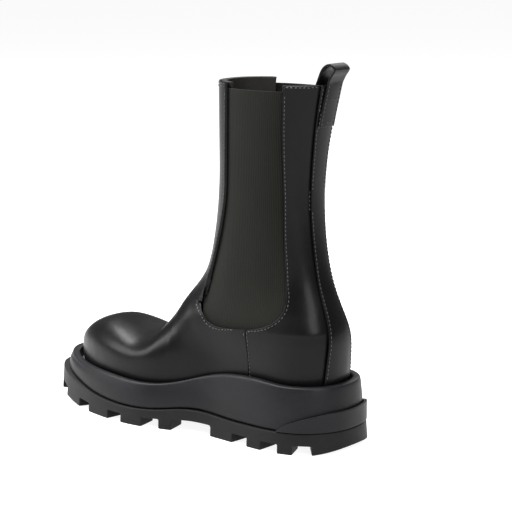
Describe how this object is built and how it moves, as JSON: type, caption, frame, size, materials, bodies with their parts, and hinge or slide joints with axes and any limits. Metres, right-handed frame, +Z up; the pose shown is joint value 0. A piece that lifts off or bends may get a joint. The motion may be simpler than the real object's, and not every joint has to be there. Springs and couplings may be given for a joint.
{
  "type": "chelsea boot",
  "caption": "Left ankle boot with smooth leather upper, elastic side gores, a pull loop at the back and a thick lugged rubber sole with a tall rim.",
  "frame": {"origin": "on the ground, under the middle of the sole's length and width", "axes": "+X towards the toe, +Y towards the outer side of this left boot, +Z up"},
  "size_m": [0.2945, 0.1083, 0.287],
  "materials": {
    "upper_leather": "smooth semi-gloss calf leather, black",
    "lining_leather": "matt lining leather, near black",
    "elastic": "ribbed woven elastic, matt black",
    "sole_rubber": "moulded rubber, satin charcoal black",
    "stiffener": "thermoplastic stiffener sheet",
    "fibreboard": "cellulose insole board",
    "foam": "closed-cell foam",
    "cork": "cork sheet",
    "shank_steel": "spring steel strip"
  },
  "bodies": {
    "foot": {"vamp": "upper_leather", "vamp_lining": "lining_leather", "toe_puff": "stiffener", "quarter_outer": "upper_leather", "quarter_inner": "upper_leather", "rear_lining": "lining_leather", "heel_counter": "stiffener", "back_strip": "upper_leather", "gore_outer": "elastic", "gore_inner": "elastic", "strap_end_outer": "upper_leather", "strap_end_inner": "upper_leather", "insole_board": "fibreboard", "footbed_foam": "foam", "sock_lining": "lining_leather", "forefoot_filler": "cork", "heel_filler": "cork", "shank": "shank_steel", "outsole": "sole_rubber", "sole_wall": "sole_rubber", "sole_core": "foam", "heel_band": "sole_rubber"},
    "front_shaft": {"front_shaft": "upper_leather", "front_shaft_lining": "lining_leather"},
    "pull_loop": {"pull_loop": "upper_leather"}
  },
  "joints": [
    {"name": "instep_flex", "type": "hinge", "parent": "foot", "child": "front_shaft", "pos_m": [-0.0005, 0, 0.1022], "axis": [0, 1, 0], "range_deg": [0, 5], "stiffness_Nm_per_rad": 60, "deforming": ["gore_outer", "gore_inner"]},
    {"name": "loop_flex", "type": "hinge", "parent": "foot", "child": "pull_loop", "pos_m": [-0.119, 0, 0.2718], "axis": [0, 1, 0], "range_deg": [-14, 20], "stiffness_Nm_per_rad": 0.3}
  ]
}
